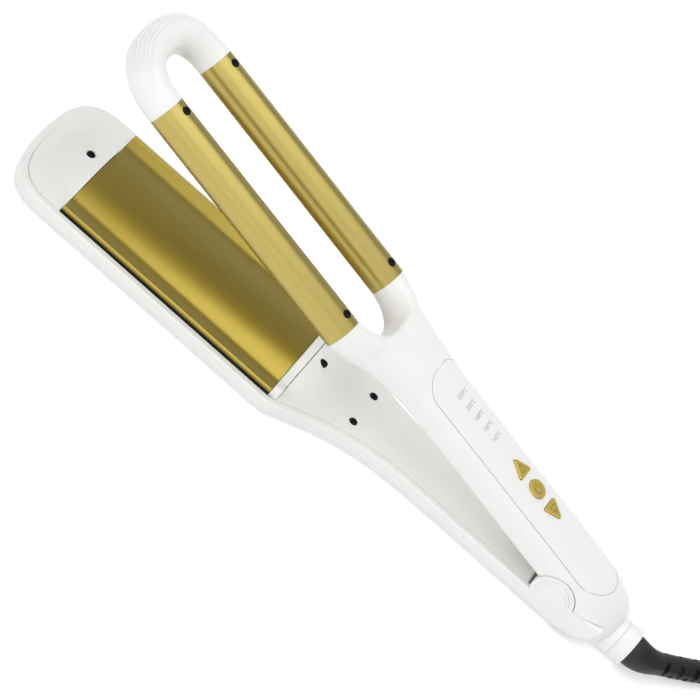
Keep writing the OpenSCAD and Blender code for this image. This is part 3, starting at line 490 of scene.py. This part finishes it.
def sweepRings(mesh, rings):
    # joins rings of equal length into one closed skin
    rows = [[mesh.verts.new(p) for p in ring] for ring in rings]
    count = len(rows[0])
    for a, b in zip(rows, rows[1:]):
        for i in range(count):
            j = (i + 1) % count
            mesh.faces.new((a[i], a[j], b[j], b[i]))
    mesh.faces.new(rows[0])
    mesh.faces.new(rows[-1][::-1])


# wavy heated plate: ridge between two troughs, with a rolled lip along each long edge
plateSet = {
    "start": 151.6,
    "end": 271.6,
    "half": 34.5,
    "spacing": 25.3,
    "trough": -4.5,
    "troughRadius": 10,
    "ridge": 3.2,
    "flankSlope": 10.5,
    "lipRadius": 1.0,
    "lipRise": 1.1,
    "lipReach": 2.05,  # width of a lip in lip radii
    "lipTurn": 20,
    "steps": 96,
    "thick": 1.5,
    "edge": 0.25,
    "edgeDepth": 1,
}


def plateTop(y, values):
    v = abs(y)
    spacing, low, inner = values["spacing"], values["trough"], values["troughRadius"]
    slope = math.radians(values["flankSlope"])
    past = v - spacing
    if past > inner * math.sin(slope):
        return low + inner * (1 - math.cos(slope)) + (past - inner * math.sin(slope)) * math.tan(slope)
    if past > 0:
        return low + inner - math.sqrt(inner ** 2 - past ** 2)
    arcSum = (spacing ** 2 + values["ridge"] ** 2) / (2 * values["ridge"])
    outer = arcSum - inner
    if v < spacing * outer / arcSum:
        return low + values["ridge"] - outer + math.sqrt(outer ** 2 - v ** 2)
    return low + inner - math.sqrt(inner ** 2 - (spacing - v) ** 2)


def makeWavePlate(values):
    r, half, low = values["lipRadius"], values["half"], values["trough"]
    lipHeight = low + values["lipRise"]
    flatHalf = half - values["lipReach"] * r
    turns = [math.radians(turn) for turn in range(180, -1, -values["lipTurn"])]
    nearLip = [(-half + r + r * math.cos(a), lipHeight + r * math.sin(a)) for a in turns[:-1]]
    farLip = [(half - r + r * math.cos(a), lipHeight + r * math.sin(a)) for a in turns[1:]]
    steps = values["steps"]
    across = [flatHalf * (2 * i / steps - 1) for i in range(steps + 1)]
    top = [(y, plateTop(y, values)) for y in across]
    under = [(y, z - values["thick"]) for y, z in reversed(top)]
    base = low - values["thick"]
    outline = nearLip + top + farLip + [(half, base)] + under + [(-half, base)]
    start, end, edge = values["start"], values["end"], values["edge"]
    rings = []
    for x, drop in ((start, edge), (start + edge, 0), (end - edge, 0), (end, edge)):
        # all but the lowest points drop at the two ends, which softens the edge
        heights = [axisHeight + z - drop * (z > low - values["edgeDepth"]) for y, z in outline]
        rings.append([(-x * mm, y * mm, height * mm) for (y, z), height in zip(outline, heights)])
    mesh = bmesh.new()
    sweepRings(mesh, rings)
    # the darker gold paints the shade that falls on the plate
    plate = newPiece("wavePlateSkin", mesh, "shadedWaveGold", "plate_arm", smooth=True)
    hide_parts("wave_plate")


makeWavePlate(plateSet)
print("wavy plate formed")


# slotted strain relief round the first stretch of the cord
bootSet = {
    "root": 7.7,
    "middle": 5.3,
    "tip": 4.4,
    "rootShare": 0.35,  # shares of the length
    "tipFrom": 0.8,
    "tipShare": 0.2,
    "ringStep": 0.35,
    "around": 96,
    "slotCount": 6,
    "slotFirst": 17.5,
    "slotPitch": 9.3,
    "slotTurn": 58,
    "slotHalf": 1.25,
    "slotReach": 3.6,
    "slotDepth": 1.7,
    "slotBlend": 0.3,
    "curveSteps": 24,
}


def smoothRoute(points, step, curveSteps):
    # points at an even step along a Catmull-Rom curve through the given ones, each with its direction
    route = [Vector(p) for p in points]
    route = [2 * route[0] - route[1]] + route + [2 * route[-1] - route[-2]]
    fine = []
    for a, b, c, d in zip(route, route[1:], route[2:], route[3:]):
        for k in range(curveSteps):
            t = k / curveSteps
            fine.append(0.5 * (2 * b + (c - a) * t + (2 * a - 5 * b + 4 * c - d) * t ** 2
                               + (3 * b - a - 3 * c + d) * t ** 3))
    fine.append(route[-2])
    even, walked, target = [], 0.0, 0.0
    for a, b in zip(fine, fine[1:]):
        length = (b - a).length
        while target <= walked + length:
            even.append((a.lerp(b, (target - walked) / length), (b - a).normalized(), target))
            target += step
        walked += length
    return even, walked


def bootRadius(t, values):
    # tapers from the root, stays even, and tapers again at the tip
    root, middle, tip = values["root"], values["middle"], values["tip"]
    if t < values["rootShare"]:
        return root + (middle - root) * smoothStep(t / values["rootShare"])
    return middle + (tip - middle) * max(0, (t - values["tipFrom"]) / values["tipShare"])


def makeBoot(values, points):
    route, total = smoothRoute(points, values["ringStep"], values["curveSteps"])
    slots = [(values["slotFirst"] + values["slotPitch"] * i / 2, 90 + 180 * (i % 2) + turn)
             for i in range(values["slotCount"]) for turn in (-values["slotTurn"], values["slotTurn"])]
    rings = []
    for centre, way, walked in route:
        radius = bootRadius(walked / total, values)
        side = way.cross(Vector((0, 0, 1))).normalized()
        top = side.cross(way)
        ring = []
        for k in range(values["around"]):
            turn = 360 * k / values["around"]
            depth = 0
            for at, middle in slots:
                off = abs((turn - middle + 180) % 360 - 180) * math.pi / 180 * radius
                reach = math.hypot(max(0, off - values["slotReach"] + values["slotHalf"]), walked - at)
                depth = max(depth, smoothStep((values["slotHalf"] - reach) / values["slotBlend"] + 0.5))
            r = radius - values["slotDepth"] * depth
            a = math.radians(turn)
            ring.append((centre + (side * math.cos(a) + top * math.sin(a)) * r) * mm)
        rings.append(ring)
    mesh = bmesh.new()
    sweepRings(mesh, rings)
    boot = newPiece("strainBoot", mesh, "cordBlack", "cord_end", smooth=True)
    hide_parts("strain_relief")


makeBoot(bootSet, cordSet["boot"])
print("strain relief formed")


# hinge ears: a fluted ring round each plain cap
earSet = {
    "inner": 8.75,
    "outer": 10.2,
    "flutes": 64,
    "perFlute": 6,
    "height": 0.22,
    "plainShare": 0.35,  # share of the height that the flutes leave
    "face": 17.2,
    "sink": 0.02,
    "steps": 6,
}


def makeEarRing(name, side, values):
    mesh = bmesh.new()
    around = values["flutes"] * values["perFlute"]
    inner, steps, plain = values["inner"], values["steps"], values["plainShare"]
    width = values["outer"] - inner
    rows = []
    for k in range(around):
        a = 2 * math.pi * k / around
        wave = 0.5 + 0.5 * math.cos(a * values["flutes"])
        row = []
        for i in range(steps + 1):
            r = inner + width * i / steps
            crown = math.sin(math.pi * i / steps) ** 0.5
            out = values["face"] - values["sink"] + values["height"] * crown * (plain + (1 - plain) * wave)
            row.append(mesh.verts.new(
                (r * math.cos(a) * mm, side * out * mm, (axisHeight + r * math.sin(a)) * mm)))
        rows.append(row)
    for a, b in zip(rows, rows[1:] + rows[:1]):
        for i in range(steps):
            mesh.faces.new((a[i], a[i + 1], b[i + 1], b[i]))
        mesh.faces.new((a[-1], a[0], b[0], b[-1]))
    newPiece(name, mesh, "shellWhite", "plate_arm", smooth=True)


makeEarRing("earRingNear", -1, earSet)
makeEarRing("earRingFar", 1, earSet)
print("ear rings formed")


# printed marks and button signs: strokes laid on the curved panel and the button tops
handleSet = {"angle": 13, "half": 17, "top": 17.4, "under": 1.5, "square": 2.8}
markSet = {
    "labels": ["140", "160", "180", "200", "220"],
    "first": 70.7,
    "pitch": 6.1,
    "middle": 0.7,
    "height": 1.95,
    "spread": 1.42,
    "degreeShare": 0.62,
    "stroke": 0.16,
    "lift": 0.025,
}
signSet = {
    "buttons": {"button_up": (52.6, 1), "button_power": (41.4, 0), "button_down": (30.2, -1)},
    "bodies": {"button_up": "up_button", "button_power": "power_button", "button_down": "down_button"},
    "top": 18.3,
    "lift": 0.02,
    "stroke": 0.28,
    "triangle": 2.5,
    "ring": 2.2,
    "ringTurns": (125, 415),
    "barShares": (1.15, 0.1),  # ends of the power sign's bar, in ring radii
}
glyphHeight = 1.5
mitreLimit = 0.5


def handlePoint(x, y, z):
    # from the handle arm's own frame, in millimetres, to the world
    turn = math.radians(handleSet["angle"])
    return Vector((-(x * math.cos(turn) - z * math.sin(turn)), y,
                   axisHeight + x * math.sin(turn) + z * math.cos(turn))) * mm


def handleTopAt(y):
    # height of the handle's upper skin over a point across it
    middle = (handleSet["top"] - handleSet["under"]) / 2
    half = (handleSet["top"] + handleSet["under"]) / 2
    share = min(1, abs(y) / handleSet["half"])
    return middle + half * (1 - share ** handleSet["square"]) ** (1 / handleSet["square"])


def arcPoints(cx, cy, rx, ry, first, last, count=14):
    turns = [math.radians(first + (last - first) * i / count) for i in range(count + 1)]
    return [(cx + rx * math.cos(a), cy + ry * math.sin(a)) for a in turns]


def strokeGlyph(sign):
    # open paths in a box one wide and one and a half high; any other sign is the letter C
    if sign == "0":
        return [arcPoints(0.45, 0.75, 0.42, 0.72, 90, 450, 20)]
    if sign == "1":
        return [[(0.2, 1.2), (0.5, 1.48), (0.5, 0.02)]]
    if sign == "2":
        return [arcPoints(0.45, 1.05, 0.4, 0.42, 165, -35) + [(0.06, 0.03), (0.9, 0.03)]]
    if sign == "4":
        return [[(0.66, 0.02), (0.66, 1.48), (0.04, 0.45), (0.92, 0.45)]]
    if sign == "6":
        return [arcPoints(0.46, 0.47, 0.4, 0.45, 90, 450, 18), arcPoints(1.0, 0.55, 0.94, 0.93, 180, 100, 6)]
    if sign == "8":
        return [arcPoints(0.45, 1.11, 0.34, 0.36, 90, 450, 16), arcPoints(0.45, 0.4, 0.41, 0.38, 90, 450, 16)]
    if sign == "degree":
        return [arcPoints(0.25, 1.25, 0.2, 0.2, 90, 450, 12)]
    return [arcPoints(0.55, 0.75, 0.45, 0.72, 50, 310, 16)]


def ribbon(mesh, path, width, place):
    # a flat band of even width along a path, mitred where the path turns
    path = [Vector((p[0], p[1])) for p in path]
    last = len(path) - 1
    closed = (path[0] - path[last]).length < 1e-6
    rows = []
    for i, p in enumerate(path):
        if closed and i in (0, last):
            before, after = path[-2], path[1]
        else:
            before, after = path[max(i - 1, 0)], path[min(i + 1, last)]
        inward, outward = p - before, after - p
        way = (inward.normalized() + outward.normalized()).normalized()
        side = Vector((-way.y, way.x))
        side /= max(mitreLimit, math.cos(inward.angle(outward, 0) / 2))
        reach = side * width / 2
        rows.append([mesh.verts.new(place(*(p + reach))), mesh.verts.new(place(*(p - reach)))])
    for a, b in zip(rows, rows[1:]):
        mesh.faces.new((a[0], a[1], b[1], b[0]))


def makeMarks(values):
    mesh = bmesh.new()
    size = values["height"] / glyphHeight
    for i, label in enumerate(values["labels"]):
        signs = list(label) + ["degree", "C"]
        steps = [values["spread"] * (values["degreeShare"] if sign == "degree" else 1) for sign in signs]
        at = -sum(steps) / 2
        for sign, step in zip(signs, steps):

            def place(u, v, at=at):
                y = values["middle"] + (at + u) * size
                x = values["first"] + i * values["pitch"] + (v - glyphHeight / 2) * size
                return handlePoint(x, y, handleTopAt(y) + values["lift"])

            for path in strokeGlyph(sign):
                ribbon(mesh, path, values["stroke"] / size, place)
            at += step
    newPiece("panelMarks", mesh, "markGrey", "handle_arm")


def makeSign(name, x, way, values):
    # a triangle that points along the handle, or the power sign where way is zero
    mesh = bmesh.new()

    def place(u, v):
        return handlePoint(x + v, u, values["top"] + values["lift"])

    if way:
        r = values["triangle"]
        corners = [(r * math.sin(a), way * r * math.cos(a)) for a in (0, 2 * math.pi / 3, 4 * math.pi / 3)]
        ribbon(mesh, corners + corners[:1], values["stroke"], place)
    else:
        r = values["ring"]
        barTop, barFoot = values["barShares"]
        ribbon(mesh, arcPoints(0, 0, r, r, *values["ringTurns"], 24), values["stroke"], place)
        ribbon(mesh, [(0, r * barTop), (0, r * barFoot)], values["stroke"], place)
    newPiece(name + "Sign", mesh, "iconBrown", values["bodies"][name])


# painted shadow: a fine dark line where the panel meets the shell, laid on both skins
seamShadeSet = {
    "tail": -15.5,
    "front": 110.5,
    "half": 14.4,
    "corner": 10.4,
    "width": 0.2,
    "lift": 0.03,
    "reach": 0.4,
    "above": 40,
    "tailSteps": 40,
    "cornerSteps": 16,
    "spacing": 2,
}


def skinTrees(names):
    graph = bpy.context.evaluated_depsgraph_get()
    solids = [bpy.data.objects[name] for name in names]
    return [(solid.matrix_world, BVHTree.FromObject(solid, graph)) for solid in solids]


def skinHit(trees, origin, target):
    # nearest place where the line from origin to target meets one of the skins
    best = None
    for matrix, tree in trees:
        back = matrix.inverted()
        start, goal = back @ origin, back @ target
        place = tree.ray_cast(start, (goal - start).normalized())[0]
        if place is not None:
            place = matrix @ place
            if best is None or (place - origin).length < (best - origin).length:
                best = place
    return best


def makeSeamShade(values):
    trees = skinTrees(("upper_shell", "control_panel"))
    half, corner = values["half"], values["corner"]
    tailMiddle, frontMiddle = values["tail"] + half, values["front"] - corner
    cornerSide = half - corner
    lift = (handlePoint(0, 0, 1) - handlePoint(0, 0, 0)) * values["lift"]

    def outwardAt(x, y):
        if x < tailMiddle:
            way = Vector((x - tailMiddle, y))
        elif x > frontMiddle:
            way = Vector((x - frontMiddle, math.copysign(max(abs(y) - cornerSide, 0), y)))
        else:
            way = Vector((0, y))
        return way.normalized()

    def place(x, y):
        # halfway between the skins on the two sides of the line
        out = outwardAt(x, y) * values["reach"]
        ends = []
        for side in (1, -1):
            high = handlePoint(x + side * out.x, y + side * out.y, values["above"])
            low = handlePoint(x + side * out.x, y + side * out.y, 0)
            ends.append(skinHit(trees, high, low))
        return (ends[0] + ends[1]) / 2 + lift

    path = arcPoints(tailMiddle, 0, half, half, 90, 270, values["tailSteps"])
    path += arcPoints(frontMiddle, -cornerSide, corner, corner, 270, 360, values["cornerSteps"])
    path += arcPoints(frontMiddle, cornerSide, corner, corner, 0, 90, values["cornerSteps"])
    full = []
    for a, b in zip(path, path[1:] + path[:1]):
        count = max(1, round(math.dist(a, b) / values["spacing"]))
        full += [(a[0] + (b[0] - a[0]) * i / count, a[1] + (b[1] - a[1]) * i / count) for i in range(count)]
    mesh = bmesh.new()
    ribbon(mesh, full + full[:1], values["width"], place)
    newPiece("panelSeamShade", mesh, "gapShadeGrey", "handle_arm")


def dropOnto(trees, x, y, above):
    # the place straight below a point of the plate arm, on the first of the skins
    high = Vector((-x, y, axisHeight + above)) * mm
    low = Vector((-x, y, axisHeight - above)) * mm
    return skinHit(trees, high, low)


# low round swelling about the tip screw
swellSet = {
    "reach": 279,
    "inner": 2.5,
    "outer": 6.6,
    "height": 0.32,
    "sink": 0.03,
    "steps": 10,
    "around": 64,
    "above": 12,
}


def makeSwell(values):
    trees = skinTrees(("tip_insert",))
    mesh = bmesh.new()
    steps = values["steps"]
    rows = []
    for k in range(values["around"]):
        a = 2 * math.pi * k / values["around"]
        row = []
        for i in range(steps + 1):
            share = i / steps
            r = values["inner"] + (values["outer"] - values["inner"]) * share
            x, y = values["reach"] + r * math.cos(a), r * math.sin(a)
            rise = values["height"] * (1 - smoothStep(share)) - values["sink"]
            row.append(mesh.verts.new(dropOnto(trees, x, y, values["above"]) + Vector((0, 0, rise)) * mm))
        rows.append(row)
    for a, b in zip(rows, rows[1:] + rows[:1]):
        for i in range(steps):
            mesh.faces.new((a[i], a[i + 1], b[i + 1], b[i]))
    piece = newPiece("tipSwell", mesh, "shellWhite", "plate_arm")
    for face in piece.data.polygons:
        face.use_smooth = True


# painted shadow in the gap behind the root strip
stripSet = {"end": 147.33, "half": 34.2, "width": 0.36, "reach": 0.3, "lift": 0.03, "above": 20, "steps": 60}


def makeStripGapShade(values):
    trees = skinTrees(("inner_cover", "root_strip"))

    def place(x, y):
        ends = [dropOnto(trees, x + side * values["reach"], y, values["above"]) for side in (1, -1)]
        return Vector((-x * mm, y * mm, (ends[0].z + ends[1].z) / 2 + values["lift"] * mm))

    half, steps = values["half"], values["steps"]
    path = [(values["end"], -half + 2 * half * i / steps) for i in range(steps + 1)]
    mesh = bmesh.new()
    ribbon(mesh, path, values["width"], place)
    newPiece("stripGapShade", mesh, "frameBlackAndGapShade", "plate_arm")


# painted shadow in the fine gap round the tip insert, along its own outline
tipSet = {"start": 272.2, "width": 0.22, "reach": 0.3, "lift": 0.03, "above": 20}


def makeTipGapShade(values):
    trees = skinTrees(("lower_shell",))
    insert = bpy.data.objects["tip_insert"]
    corners = [insert.matrix_world @ v.co for v in insert.data.vertices]
    flat = [Vector((-p.x, p.y)) / mm for p in corners]
    hull = [flat[i] for i in convex_hull_2d(flat) if flat[i].x > values["start"]]
    hull.sort(key=lambda p: math.atan2(p.y, p.x - values["start"]))
    middle = Vector((values["start"], 0))

    def place(x, y):
        out = (Vector((x, y)) - middle).normalized() * values["reach"]
        skin = dropOnto(trees, x + out.x, y + out.y, values["above"])
        return Vector((-x * mm, y * mm, skin.z + values["lift"] * mm))

    mesh = bmesh.new()
    ribbon(mesh, hull, values["width"], place)
    newPiece("tipGapShade", mesh, "gapShadeGrey", "plate_arm")


# painted shadow: a thin black wall in the gap along both sides of the plate
gapWallSet = {"inner": 34.54, "outer": 34.8, "low": 9.9, "high": 11.5}


def makeFrameGapShade(values):
    inner, outer, low, high = values["inner"], values["outer"], values["low"], values["high"]
    corners = ((inner, low), (outer, low), (outer, high), (inner, high))
    mesh = bmesh.new()
    for side in (1, -1):
        ring = [(side * y * mm, z * mm) for y, z in corners]
        sweepRings(mesh, [[(-x * mm, y, z) for y, z in ring] for x in (plateSet["start"], plateSet["end"])])
    newPiece("frameGapShade", mesh, "frameBlackAndGapShade", "plate_arm")


makeMarks(markSet)
makeSeamShade(seamShadeSet)
makeSwell(swellSet)
makeStripGapShade(stripSet)
makeTipGapShade(tipSet)
makeFrameGapShade(gapWallSet)
for buttonName, (reach, way) in signSet["buttons"].items():
    makeSign(buttonName, reach, way, signSet)
print("marks, seams and gaps laid")


# floor, world and lamps
floorSet = {
    "half": 6,
    "colour": (0.84, 0.84, 0.84),
    "patchShare": 1.02,
    "patchScale": 40,
    "rough": 0.7,
    "specular": 0.1,
    "glow": 0.45,
}
skySet = {"low": 0.66, "high": 0.35, "from": -0.1, "to": 1, "cameraWhite": 1.0}
lampSet = {
    "keyLamp": {"place": (0.05, -0.1, 2.1), "width": 0.9, "depth": 2.9, "power": 20, "glossy": True},
    "frontLamp": {"place": (-0.6, -1.9, 1.1), "width": 2.8, "depth": 2.0, "power": 18, "glossy": True},
    "backLamp": {"place": (0.1, 1.7, 0.9), "width": 2.4, "depth": 1.4, "power": 11, "glossy": False},
}
lampAim = (-0.1, 0, 0.03)


def makeFloor(values):
    mesh = bpy.data.meshes.new("studioFloor")
    half = values["half"]
    corners = [(-half, -half, 0), (half, -half, 0), (half, half, 0), (-half, half, 0)]
    mesh.from_pydata(corners, [], [(0, 1, 2, 3)])
    floor = bpy.data.objects.new("studioFloor", mesh)
    bpy.context.scene.collection.objects.link(floor)
    material = bpy.data.materials.new("floorPale")
    material.use_nodes = True
    tree = material.node_tree
    shader = tree.nodes["Principled BSDF"]
    grain = addNode(tree, "ShaderNodeTexNoise")
    grain.inputs["Scale"].default_value = values["patchScale"]
    ramp = addNode(tree, "ShaderNodeMix", data_type="RGBA")
    ramp.inputs[6].default_value = (*values["colour"], 1)
    ramp.inputs[7].default_value = (*(c * values["patchShare"] for c in values["colour"]), 1)
    tree.links.new(grain.outputs["Fac"], ramp.inputs["Factor"])
    tree.links.new(ramp.outputs[2], shader.inputs["Base Color"])
    shader.inputs["Roughness"].default_value = values["rough"]
    shader.inputs["Specular IOR Level"].default_value = values["specular"]
    # a little of its own light, for the camera and for reflections only
    path = addNode(tree, "ShaderNodeLightPath")
    either = addNode(tree, "ShaderNodeMath", operation="MAXIMUM")
    seen = addNode(tree, "ShaderNodeMath", operation="MULTIPLY")
    seen.inputs[1].default_value = values["glow"]
    glow = addNode(tree, "ShaderNodeEmission")
    both = addNode(tree, "ShaderNodeAddShader")
    tree.links.new(path.outputs["Is Camera Ray"], either.inputs[0])
    tree.links.new(path.outputs["Is Glossy Ray"], either.inputs[1])
    tree.links.new(either.outputs[0], seen.inputs[0])
    tree.links.new(seen.outputs[0], glow.inputs["Strength"])
    tree.links.new(shader.outputs[0], both.inputs[0])
    tree.links.new(glow.outputs[0], both.inputs[1])
    tree.links.new(both.outputs[0], tree.nodes["Material Output"].inputs["Surface"])
    mesh.materials.append(material)


def makeWorld(values):
    # white to the camera, and a soft sky that fades upwards to everything else
    world = bpy.data.worlds.new("studioWorld")
    world.use_nodes = True
    bpy.context.scene.world = world
    tree = world.node_tree
    background = tree.nodes["Background"]
    background.inputs["Color"].default_value = (1, 1, 1, 1)
    place = addNode(tree, "ShaderNodeTexCoord")
    split = addNode(tree, "ShaderNodeSeparateXYZ")
    sky = addNode(tree, "ShaderNodeMapRange", interpolation_type="SMOOTHSTEP")
    sky.inputs["From Min"].default_value = values["from"]
    sky.inputs["From Max"].default_value = values["to"]
    sky.inputs["To Min"].default_value = values["low"]
    sky.inputs["To Max"].default_value = values["high"]
    path = addNode(tree, "ShaderNodeLightPath")
    level = addNode(tree, "ShaderNodeMix", data_type="FLOAT")
    level.inputs[3].default_value = values["cameraWhite"]
    tree.links.new(place.outputs["Generated"], split.inputs[0])
    tree.links.new(split.outputs["Z"], sky.inputs["Value"])
    tree.links.new(sky.outputs["Result"], level.inputs[2])
    tree.links.new(path.outputs["Is Camera Ray"], level.inputs["Factor"])
    tree.links.new(level.outputs[0], background.inputs["Strength"])


def makeLamp(name, values, aim):
    data = bpy.data.lights.new(name, "AREA")
    data.shape = "RECTANGLE"
    data.size = values["width"]
    data.size_y = values["depth"]
    data.energy = values["power"]
    lamp = bpy.data.objects.new(name, data)
    back = (Vector(values["place"]) - Vector(aim)).normalized()
    upward = back.cross(Vector((1, 0, 0))).normalized()
    turn = Matrix((upward.cross(back), upward, back)).transposed().to_4x4()
    lamp.matrix_world = Matrix.Translation(values["place"]) @ turn
    lamp.visible_glossy = values["glossy"]
    bpy.context.scene.collection.objects.link(lamp)


makeFloor(floorSet)
makeWorld(skySet)
for lampName, values in lampSet.items():
    makeLamp(lampName, values, lampAim)
bpy.context.scene.view_settings.view_transform = "Standard"
print("studio lit")
